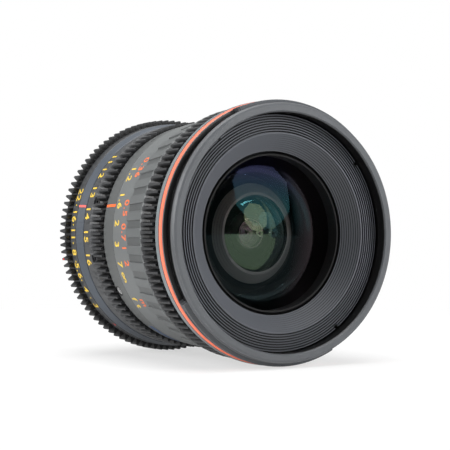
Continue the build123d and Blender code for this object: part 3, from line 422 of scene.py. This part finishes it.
def paint_shade_on_walls(material):
    """Painted shade: walls that face the axis, and the floors of the flat grooves, are coloured black. Only
    the faces square to the axis keep the colour.
    """
    tree, socket, tint = colour_so_far(material)
    facing = add_node(tree, "NewGeometry").outputs["True Normal"]
    to_object = add_node(tree, "VectorTransform", [(0, facing)], vector_type="NORMAL", convert_from="WORLD",
                         convert_to="OBJECT")
    along = maths(tree, "ABSOLUTE", add_node(tree, "SeparateXYZ", [(0, to_object.outputs[0])]).outputs[1])
    _, radius, _, station = lens_coordinates(tree)
    stations, radii = FLAT_GROOVES
    groove_floor_shade = maths(tree, "MULTIPLY", within(tree, station, *stations), within(tree, radius, *radii))
    wall = maths(tree, "MAXIMUM", remap(tree, along, TREAD, RISER), groove_floor_shade)
    tree.links.new(blend_colours(tree, wall, tint, PAINTED_SHADE_BLACK), socket)


# Painted shade on the baffle's stair and on the inner ring's ridges.
paint_shade_on_walls(finishes["baffle_black"])
paint_shade_on_walls(own_finishes["second_retainer"])
turned_off = [round(math.degrees(math.acos(along))) for along in (TREAD, RISER)]
print("a face starts to darken, and is black, at", turned_off, "degrees off the axis")

# %% [markdown]
# ## Painted shade in recesses and screw seats
#
# The grip's recesses lie in shade and look darker than its lands, and each flush screw sits in a thin gap
# that lies in shade. Both shades are painted, and marked by place: a recess lies under a sloping line between
# floor and land, and a screw's gap lies inside a small circle laid on the barrel.

# %% Paint shade in the recesses and the screw gaps
GRIP_REAR = (-57.02, 39.55)
GRIP_FRONT = (-70.8, 40.95)
RECESS_PAINTED_SHADE = 0.72
SCREW_STATION = -39.6
SCREW_ANGLES = (-150.1, -30.1, 89.9)
BARREL_RADIUS = 39.0
SCREW_SHADE_REACH = 1.95


def paint_shade_in_recesses(material, rear, front, shade):
    """Painted shade: darkens the floors of the recesses. An end is a station, and a radius between floor and
    land.
    """
    tree, socket, tint = colour_so_far(material)
    _, radius, _, station = lens_coordinates(tree)
    limit = remap(tree, station, front[0] * MM, rear[0] * MM, front[1] * MM, rear[1] * MM)
    on_grip = within(tree, station, front[0], rear[0])
    recess = maths(tree, "MULTIPLY", maths(tree, "LESS_THAN", radius, limit), on_grip)
    tree.links.new(dim_colour(tree, tint, remap(tree, recess, 0.0, 1.0, 1.0, shade)), socket)


def paint_shade_round_screws(material, screw_station, screw_angles, radius, reach):
    """Painted shade: blackens the room round each screw head, laid out flat as along and across the ring."""
    tree, socket, tint = colour_so_far(material)
    _, _, angle, station = lens_coordinates(tree)
    along = maths(tree, "SUBTRACT", station, screw_station * MM)
    for turned in screw_angles:
        across = maths(tree, "MULTIPLY", maths(tree, "SUBTRACT", angle, math.radians(turned)), radius * MM)
        near = maths(tree, "LESS_THAN", squares(tree, along, across), (reach * MM) ** 2)
        tint = blend_colours(tree, near, tint, PAINTED_GAP_SHADE)
    tree.links.new(tint, socket)


# Painted shade in the grip's recesses.
paint_shade_in_recesses(own_finishes["focus_ring"], GRIP_REAR, GRIP_FRONT, RECESS_PAINTED_SHADE)
# Painted shade in the gap round each screw head.
paint_shade_round_screws(finishes["barrel_grey"], SCREW_STATION, SCREW_ANGLES, BARREL_RADIUS, SCREW_SHADE_REACH)
print("recesses at", RECESS_PAINTED_SHADE, "of the grip's grey, screw gaps", len(SCREW_ANGLES))

# %% [markdown]
# ## Coated glass
#
# Bare glass reflects about a twentieth of the light at each surface. A coating cuts that to a fraction of a
# percent and tints what is left, blue and purple on the front glass and green deeper in. The glass itself
# is clear, and the dark inside of the barrel does the rest.
#
# A reflection that weak is rarely picked by a path tracer, and comes out as speckle. So the coats here
# reflect more than real ones, with a Specular Tint above 1, and what they mirror is made dimmer in the same
# measure further down. The picture is the same and it is clean.

# %% Coated glass
GLASS_TINT = (0.97, 0.99, 0.98, 1.0)
DUST_GRAIN = 1 / (0.5 * MM)
DUST_SPAN = 0.72, 0.78
DUST_ROUGHNESS = 0.012
SLANT_FROM, SLANT_TO = 0.24, 0.33
LOW_FROM, LOW_TO = -2 * MM, 5 * MM
TOP_FROM, TOP_TO = 9 * MM, 23 * MM
FACING_BLEND = 0.5


def coated_glass(name, tint, index=1.6, low=None, top=None, slanted=None):
    """Clear glass whose leftover reflection has the colour of its coating. It may change towards the top, and
    where the glass is seen at a slant."""
    material, tree, shader = start_material(name)
    point = add_node(tree, "TexCoord").outputs["Object"]
    dust = remap(tree, noise(tree, point, DUST_GRAIN), *DUST_SPAN, 0.0, DUST_ROUGHNESS)
    tree.links.new(dust, shader.inputs["Roughness"])
    shader.inputs["Base Color"].default_value = GLASS_TINT
    shader.inputs["Transmission Weight"].default_value = 1.0
    shader.inputs["IOR"].default_value = index
    shader.inputs["Specular Tint"].default_value = (*tint, 1.0)
    if top:
        height = add_node(tree, "SeparateXYZ", [(0, point)]).outputs[2]
        hue = blend_colours(tree, remap(tree, height, LOW_FROM, LOW_TO), low, tint)
        hue = blend_colours(tree, remap(tree, height, TOP_FROM, TOP_TO), hue, top)
        facing = add_node(tree, "LayerWeight", [("Blend", FACING_BLEND)]).outputs["Facing"]
        hue = blend_colours(tree, remap(tree, facing, SLANT_FROM, SLANT_TO), hue, slanted)
        tree.links.new(hue, shader.inputs["Specular Tint"])
    return material


DENSE_GLASS = 1.8
glass_finishes = {
    "front_element": coated_glass("front glass, blue-purple coat", (0.36, 1.5, 1.7), low=(0.35, 0.55, 0.6),
                                  top=(0.75, 0.68, 1.9), slanted=(1.7, 1.3, 1.5)),
    "second_element": coated_glass("second glass, green coat", (2.4, 3.6, 2.2), DENSE_GLASS),
    "third_element": coated_glass("third glass, green coat", (3.0, 4.2, 2.6), DENSE_GLASS),
    "variator_element_1": coated_glass("variator glass, bright green coat", (4.0, 5.5, 3.8)),
}
inner_glass = coated_glass("inner glass, green coat", (2.4, 3.6, 2.6))
print("glass coats", len(glass_finishes) + 1)

# %% [markdown]
# ## Skins over the turned nodes
#
# A CAD node comes as loose triangles, so it can't be shaded smoothly as it is. A skin is a copy of the node
# whose triangles are joined at their corners. It then shades smoothly up to its real edges and replaces
# the node in the render, while the solid itself stays for the physics.

# %% Make a skin for each node
SLOT_OF = {part["node"]: part["material_slot"] for part in frame["record"]["subparts"]}
TURNED_EDGE = math.radians(5)
GLASS_EDGE = math.radians(24)
CORNER_GAP = 0.002 * MM


def finish_mesh(work, name):
    """Ends the modelling: the bmesh becomes a mesh."""
    mesh = bpy.data.meshes.new(name)
    work.to_mesh(mesh)
    work.free()
    return mesh


def shade_up_to_edges(mesh, edge):
    """Smooth shading that stops where two faces meet at more than an angle."""
    mesh.shade_smooth()
    mesh.set_sharp_from_angle(angle=edge)


skins = {}
for node_name, node in nodes.items():
    work = bmesh.new()
    work.from_mesh(node.data)
    bmesh.ops.remove_doubles(work, verts=work.verts, dist=CORNER_GAP)
    bmesh.ops.dissolve_degenerate(work, edges=work.edges, dist=CORNER_GAP)
    mesh = finish_mesh(work, node_name + "_skin")
    slot = SLOT_OF[node_name]
    is_glass = slot == "coated_glass"
    shade_up_to_edges(mesh, GLASS_EDGE if is_glass else TURNED_EDGE)
    metal = own_finishes.get(node_name, finishes.get(slot))
    mesh.materials.clear()
    mesh.materials.append(glass_finishes.get(node_name, inner_glass) if is_glass else metal)
    skin = add_object(node_name + "_skin", mesh)
    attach(skin, node["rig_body"])
    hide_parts(node_name)
    skins[node_name] = skin
print("skins", len(skins), "faces", sum(len(s.data.polygons) for s in skins.values()))

# %% [markdown]
# ## The stop behind the third glass
#
# Deep in the lens the photograph shows a small round opening with a bright edge. It is a thin plate with a
# hole. Its edge is a near-white paint, a painted highlight for the bright ring there. A hole could be cut
# with a boolean. A closed outline spun round the lens axis is simpler, and gives even, closed walls.

# %% Turn the stop and its edge with a painted highlight
PUPIL, PUPIL_EDGE, PUPIL_OUTER = 5.9, 6.2, 13.0
STOP_FRONT, STOP_REAR = -65.0, -64.8
EDGE_PROUD = 0.1
SPIN_STEPS = 96


def turned_piece(name, inner, outer, front, rear, material, body):
    """Spins a rectangle between two radii and two stations, in millimetres, round the lens axis."""
    work = bmesh.new()
    outline = ((inner, front), (outer, front), (outer, rear), (inner, rear))
    corners = [work.verts.new((r * MM, y * MM, 0)) for r, y in outline]
    edges = [work.edges.new((corners[i - 1], corners[i])) for i in range(len(corners))]
    bmesh.ops.spin(work, geom=corners + edges, cent=(0, 0, 0), axis=(0, 1, 0), angle=math.tau,
                   steps=SPIN_STEPS, use_merge=True)
    bmesh.ops.recalc_face_normals(work, faces=work.faces)
    mesh = finish_mesh(work, name)
    shade_up_to_edges(mesh, TURNED_EDGE)
    mesh.materials.append(material)
    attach(add_object(name, mesh), body)


turned_piece("inner_stop", PUPIL_EDGE, PUPIL_OUTER, STOP_FRONT, STOP_REAR, finishes["inner_black"],
             "focus_group")
# Painted highlight: the edge is a near-white non-metal paint, so that it shows as a bright ring.
stop_edge_painted_highlight = anodised("stop edge painted highlight", (0.85, 0.82, 0.72), 0.4, grain=0.2)
turned_piece("inner_stop_edge", PUPIL, PUPIL_EDGE, STOP_FRONT - EDGE_PROUD, STOP_REAR, stop_edge_painted_highlight,
             "focus_group")
print("stop of radius", PUPIL, "mm")

# %% [markdown]
# ## Paint
#
# The numerals are cut into the rings and filled with matte enamel. A brush leaves it a little thicker in
# some places than in others, so its colour is never quite even. A little noise between two shades shows that.

# %% Scale paints
ENAMEL_BLOTCHES = 1 / (0.6 * MM)
ENAMEL_ROUGHNESS = 0.55
THIN_PAINT = 0.85


def paint(name, colour):
    """Matte enamel in an engraved figure, a little uneven."""
    material, tree, shader = start_material(name)
    point = add_node(tree, "TexCoord").outputs["Object"]
    blotch = remap(tree, noise(tree, point, ENAMEL_BLOTCHES, detail=3.0), *NOISE_SPAN)
    tint = blend_colours(tree, blotch, tuple(c * THIN_PAINT for c in colour), colour)
    tree.links.new(tint, shader.inputs["Base Color"])
    shader.inputs["Roughness"].default_value = ENAMEL_ROUGHNESS
    return material


PAINTS = {
    "yellow": paint("yellow scale paint", (0.85, 0.58, 0.06)),
    "orange": paint("orange scale paint", (0.85, 0.17, 0.05)),
    "index": paint("bright orange index paint", (1.0, 0.16, 0.03)),
    "coral": paint("coral index paint", (0.9, 0.14, 0.12)),
    "red": paint("red mark paint", (0.8, 0.05, 0.04)),
    "blue": paint("blue strip", (0.06, 0.1, 0.2)),
}
print("paints", sorted(PAINTS))

# %% [markdown]
# ## Figures and marks
#
# Blender's own font gives plain figures. Each is made a mesh while it lies flat, and is then rolled onto its
# ring: along the figure becomes the angle, and up the figure becomes the way to the front of the lens. A bar
# gets cuts along its length first, or it would lie as a straight chord under the surface of the ring.

# %% Roll a flat mesh onto a ring
def roll_onto_ring(name, mesh, colour, body, radius, station, angle, cone=0.0):
    """Rolls a flat mesh, drawn in millimetres round its own centre, onto a ring and hands it to a body. Cone
    is how much the ring's radius grows for each millimetre towards the rear."""
    for corner in mesh.vertices:
        along, up, rise = corner.co
        y = station - up
        r = radius + cone * (y - station) + rise
        turn = math.radians(angle) + along / radius
        corner.co = Vector((r * math.cos(turn), y, r * math.sin(turn))) * MM
    mesh.materials.clear()
    mesh.materials.append(PAINTS[colour])
    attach(add_object(name, mesh), body)


PROUD = 0.04
print("marks stand", PROUD, "mm proud of the metal")

# %% Figures, bars and dots
BOLD = 0.07
LETTER_SPACING = 1.12
BAR_SEGMENTS = 12
ROUND, TRIANGLE = 12, 3


def figure(name, text, size, **place):
    """A numeral or unit, centred on its place."""
    curve = bpy.data.curves.new(name, "FONT")
    curve.body = text
    curve.size = size
    curve.align_x = "CENTER"
    curve.align_y = "CENTER"
    curve.extrude = PROUD
    curve.offset = BOLD
    curve.space_character = LETTER_SPACING
    flat = add_object(name + "_flat", curve)
    mesh = bpy.data.meshes.new_from_object(flat)
    bpy.data.objects.remove(flat)
    mesh.name = name
    roll_onto_ring(name, mesh, **place)


def patch(name, long, wide, corners=0, **place):
    """A painted bar, or a disc or triangle with the given number of corners."""
    work = bmesh.new()
    if corners:
        bmesh.ops.create_circle(work, cap_ends=True, segments=corners, radius=1.0)
    else:
        bmesh.ops.create_grid(work, x_segments=BAR_SEGMENTS, y_segments=1, size=1.0)
    bmesh.ops.scale(work, vec=(wide / 2, long / 2, 1.0), verts=work.verts)
    bmesh.ops.translate(work, vec=(0, 0, PROUD), verts=work.verts)
    walls = bmesh.ops.extrude_face_region(work, geom=work.faces[:])
    bottom = [v for v in walls["geom"] if isinstance(v, bmesh.types.BMVert)]
    bmesh.ops.translate(work, vec=(0, 0, -2 * PROUD), verts=bottom)
    bmesh.ops.recalc_face_normals(work, faces=work.faces)
    roll_onto_ring(name, finish_mesh(work, name), **place)


print("a bar has", BAR_SEGMENTS, "segments along the ring")

# %% [markdown]
# ## The scales
#
# Three rings carry four scales: distance in metres and in feet, focal length, and aperture. Each figure has
# the angle that the photograph gives it, and each scale rides on its ring, so it passes the fixed index when
# the ring turns.

# %% Draw the scales
METRES = (("0.36", 146.2), ("0.5", 167.9), ("0.7", 179.5), ("1", 187.1), ("2", 194.6), ("m", 215.7))
FEET = (("1.2", 149.6), ("1.6", 163.8), ("2", 175.1), ("3", 185.3), ("7", 195.1), ("∞", 201.8),
        ("f t", 216.0))
FOCAL = (("11", 138.4), ("12", 147.0), ("13", 158.1), ("14", 169.3), ("15", 180.9), ("16", 192.6))
STOPS = (("22", 160.0), ("16", 170.7), ("11", 179.8), ("8", 189.0), ("5.6", 198.4), ("4", 208.7),
         ("3", 218.4))
FOCUS_RADIUS, ZOOM_RADIUS, STOP_RADIUS = 39.3, 39.7, 40.9
STOP_STATION = -16.4
SCALES = (
    ("metres", METRES, 4.3, "orange", "focus_control", FOCUS_RADIUS, -54.15),
    ("feet", FEET, 4.4, "yellow", "focus_control", FOCUS_RADIUS, -48.9),
    ("focal", FOCAL, 4.6, "yellow", "zoom_control", ZOOM_RADIUS, -24.9),
    ("stop", STOPS, 4.5, "yellow", "iris_control", STOP_RADIUS, STOP_STATION),
)
for scale_name, figures, size, colour, body, radius, station in SCALES:
    for number, (text, angle) in enumerate(figures):
        figure(f"{scale_name}_{number + 1}", text, size, colour=colour, body=body, radius=radius,
               station=station, angle=angle)
print("figures", sum(len(scale[1]) for scale in SCALES))

# %% Draw the indexes, dots and strip
BARREL_CONE = -0.0375
INDEX_RING_CONE = 0.214
MID_BAND = -42.0
patch("focus_index", long=7.4, wide=0.9, colour="index", body="barrel", radius=39.06, station=MID_BAND,
      angle=166.1, cone=BARREL_CONE)
patch("zoom_index", long=4.0, wide=0.8, colour="coral", body="barrel", radius=40.35, station=-20.75,
      angle=165.9, cone=INDEX_RING_CONE)
patch("open_mark", long=1.6, wide=1.6, corners=TRIANGLE, colour="red", body="iris_control",
      radius=STOP_RADIUS, station=-17.4, angle=232.3)
for number, (before, after) in enumerate(zip(STOPS, STOPS[1:])):
    patch(f"half_stop_{number + 1}", long=0.7, wide=0.7, corners=ROUND, colour="yellow", body="iris_control",
          radius=STOP_RADIUS, station=STOP_STATION, angle=(before[1] + after[1]) / 2)
patch("rear_dot", long=1.4, wide=0.62, corners=ROUND, colour="red", body="iris_control", radius=42.78,
      station=-10.2, angle=192.0)
patch("blue_strip", long=3.0, wide=12.3, colour="blue", body="barrel", radius=39.08, station=MID_BAND,
      angle=243.0, cone=BARREL_CONE)
print("half-stop dots", len(STOPS) - 1, "between", STOPS[0][0], "and", STOPS[-1][0])

# %% [markdown]
# ## The white of the studio
#
# The photograph is high-key: a white table runs into a white background. Pale paint under plain light would
# come out grey, and more light would wash out the lens. So the table is lit as it is, and a plain white is
# mixed over it for the rays that come from the camera, a mirror or glass.
#
# The coated glass reflects too much, as said above. Only perfectly smooth surfaces send singular rays, and
# here those are the glasses, so the white and the lamp are dimmer for singular rays.

# %% White for the eye, dimmer in the glass
WHITE = (1.0, 1.0, 1.0, 1.0)
MIRRORED_WHITE = 0.45
WHITE_IN_GLASS = 0.2


def dimmer_in_glass(tree, paths, elsewhere, in_glass):
    """One value for all rays but the singular ones, and another for those."""
    return remap(tree, paths.outputs["Is Singular Ray"], 0.0, 1.0, elsewhere, in_glass)


def mirrored_ray(tree, paths):
    """1 for rays from a mirror or through glass."""
    return maths(tree, "MAXIMUM", paths.outputs["Is Glossy Ray"], paths.outputs["Is Transmission Ray"])


def white_to_the_eye(tree, shader, share):
    """Mixes a lit surface with plain white, for rays that come from the camera, a mirror or glass."""
    paths = add_node(tree, "LightPath")
    seen = maths(tree, "MAXIMUM", mirrored_ray(tree, paths), paths.outputs["Is Camera Ray"])
    mirrored = dimmer_in_glass(tree, paths, MIRRORED_WHITE, WHITE_IN_GLASS)
    strength = maths(tree, "MAXIMUM", paths.outputs["Is Camera Ray"], mirrored)
    share = maths(tree, "MAXIMUM", share, paths.outputs["Is Singular Ray"])
    glow = add_node(tree, "Emission", [("Color", WHITE), ("Strength", strength)])
    mix = add_node(tree, "MixShader", [(0, maths(tree, "MULTIPLY", seen, share))])
    tree.links.new(shader.outputs[0], mix.inputs[1])
    tree.links.new(glow.outputs[0], mix.inputs[2])
    tree.links.new(mix.outputs[0], tree.nodes["Material Output"].inputs["Surface"])


print("mirrored white", MIRRORED_WHITE, "and in the glass", WHITE_IN_GLASS)

# %% [markdown]
# ## The table
#
# Near the lens the table keeps much of its real shading, so that the soft shadow shows. Further out the
# plain white takes over, and the table has no edge against the background.

# %% Lay the table
FLOOR_SIZE = 4.0
SHADOW_REACH = (0.07, 0.3)
SHADOW_SHARE = 0.6
TABLE_CLOUDS = 1 / (25 * MM)
TABLE_WHITE, TABLE_BRIGHT = (0.93, 0.93, 0.93), (0.95, 0.95, 0.95)
TABLE_ROUGHNESS = 0.7
floor_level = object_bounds()[0].z
work = bmesh.new()
bmesh.ops.create_grid(work, x_segments=1, y_segments=1, size=FLOOR_SIZE)
bmesh.ops.translate(work, vec=(0, 0, floor_level), verts=work.verts)
table_top = add_object("table_top", finish_mesh(work, "table_top"))
white, tree, shader = start_material("white table")
point = add_node(tree, "TexCoord").outputs["Object"]
speckle = remap(tree, noise(tree, point, TABLE_CLOUDS, detail=3.0), *NOISE_SPAN)
tree.links.new(blend_colours(tree, speckle, TABLE_WHITE, TABLE_BRIGHT), shader.inputs["Base Color"])
shader.inputs["Roughness"].default_value = TABLE_ROUGHNESS
away = add_node(tree, "VectorMath", [(0, point)], operation="LENGTH").outputs["Value"]
white_to_the_eye(tree, shader, remap(tree, away, *SHADOW_REACH, SHADOW_SHARE, 1.0))
table_top.data.materials.append(white)
print("table at", round(floor_level / MM, 2), "mm")

# %% [markdown]
# ## Lamps
#
# A wide soft source hangs overhead and a weaker one fills from the left. A third stands in front on the
# right, and shows as a dark blue octagon in the front glass. What lights the lens there and what shows in
# the glass are two things: a round area lamp that no reflection sees, and a cloth of eight corners behind it
# that only reflections see.

# %% Lamps
CENTRE = Vector((0, -0.06, 0))
BOX_WAY = Vector((0.44, -0.81, 0.355)).normalized()
BOX_AWAY = 1.0
BOX_RADIUS = 0.29


def softbox(name, place, size, power, shape="SQUARE"):
    """An area lamp that looks at the middle of the lens."""
    lamp = add_object(name, bpy.data.lights.new(name, "AREA"))
    lamp.data.shape = shape
    lamp.data.size = size
    lamp.data.energy = power
    lamp.location = place
    aim(lamp, CENTRE - Vector(place))
    return lamp


softbox("overhead", place=(-0.1, -0.1, 1.3), size=1.2, power=20)
softbox("left fill", place=(-1.25, 0.15, 0.5), size=0.9, power=14)
front_right = softbox("front right", CENTRE + BOX_WAY * BOX_AWAY, size=2 * BOX_RADIUS, power=6, shape="DISK")
front_right.visible_glossy = False
front_right.visible_transmission = False
print("lamps", len(bpy.data.lights))

# %% The octagonal cloth that shows in the glass
BOX_GLOW = 2.2
BOX_GLOW_IN_GLASS = 0.42
CLOTH_CORNERS = 8
CLOTH_RADIUS = 0.345
CLOTH_TURN = math.radians(15)
CLOTH_AWAY = BOX_AWAY + 0.02
work = bmesh.new()
bmesh.ops.create_circle(work, cap_ends=True, segments=CLOTH_CORNERS, radius=CLOTH_RADIUS)
turn = BOX_WAY.to_track_quat("Z", "Y").to_matrix().to_4x4() @ Matrix.Rotation(CLOTH_TURN, 4, "Z")
bmesh.ops.transform(work, matrix=turn, verts=work.verts)
bmesh.ops.translate(work, vec=CENTRE + BOX_WAY * CLOTH_AWAY, verts=work.verts)
octagon = add_object("octagonal_box", finish_mesh(work, "octagonal_box"))
octagon.visible_camera = False
cloth = bpy.data.materials.new("octagonal box cloth")
cloth.use_nodes = True
tree = cloth.node_tree
cloth_glow = dimmer_in_glass(tree, add_node(tree, "LightPath"), BOX_GLOW, BOX_GLOW_IN_GLASS)
light = add_node(tree, "Emission", [("Color", WHITE), ("Strength", cloth_glow)])
tree.links.new(light.outputs[0], tree.nodes["Material Output"].inputs["Surface"])
octagon.data.materials.append(cloth)
print("cloth", round(2 * CLOTH_RADIUS, 2), "m across,", CLOTH_AWAY, "m away")

# %% [markdown]
# ## The room
#
# To the camera the room is plain white, and it gives the lens a weak even light. What the metal and the
# glass mirror of it is white too, but dim in a sector in front of the lens, as a studio is behind the
# photographer. That is what keeps the front glass dark. The world tells these rays apart by their kind, so
# no walls have to be built.

# %% White round the lens, dim in front of it
AMBIENT = 0.16
DIM_ROOM = 0.015
DIM_LEFT, DIM_RIGHT, SOFT_EDGE = math.radians(-70), math.radians(50), math.radians(3)
world = bpy.data.worlds.new("studio")
scene.world = world
world.use_nodes = True
tree = world.node_tree
background = tree.nodes["Background"]
east, north, _ = add_node(tree, "SeparateXYZ", [(0, add_node(tree, "TexCoord").outputs["Generated"])]).outputs
bearing = maths(tree, "ARCTAN2", east, maths(tree, "MULTIPLY", north, -1.0))
right_wall = remap(tree, bearing, DIM_RIGHT - SOFT_EDGE, DIM_RIGHT + SOFT_EDGE, DIM_ROOM, MIRRORED_WHITE)
left_wall = remap(tree, bearing, DIM_LEFT - SOFT_EDGE, DIM_LEFT + SOFT_EDGE, MIRRORED_WHITE, DIM_ROOM)
paths = add_node(tree, "LightPath")
in_glass = dimmer_in_glass(tree, paths, 1.0, WHITE_IN_GLASS / MIRRORED_WHITE)
walls = maths(tree, "MULTIPLY", maths(tree, "MAXIMUM", right_wall, left_wall), in_glass)
mirror = mirrored_ray(tree, paths)
ambient = maths(tree, "MULTIPLY", maths(tree, "SUBTRACT", 1.0, mirror), AMBIENT)
lit = maths(tree, "ADD", ambient, maths(tree, "MULTIPLY", mirror, walls))
strength = maths(tree, "MAXIMUM", lit, paths.outputs["Is Camera Ray"])
tree.links.new(strength, background.inputs["Strength"])
background.inputs["Color"].default_value = WHITE
scene.view_settings.view_transform = "Standard"
print("dim sector", round(math.degrees(DIM_RIGHT - DIM_LEFT)), "degrees wide")
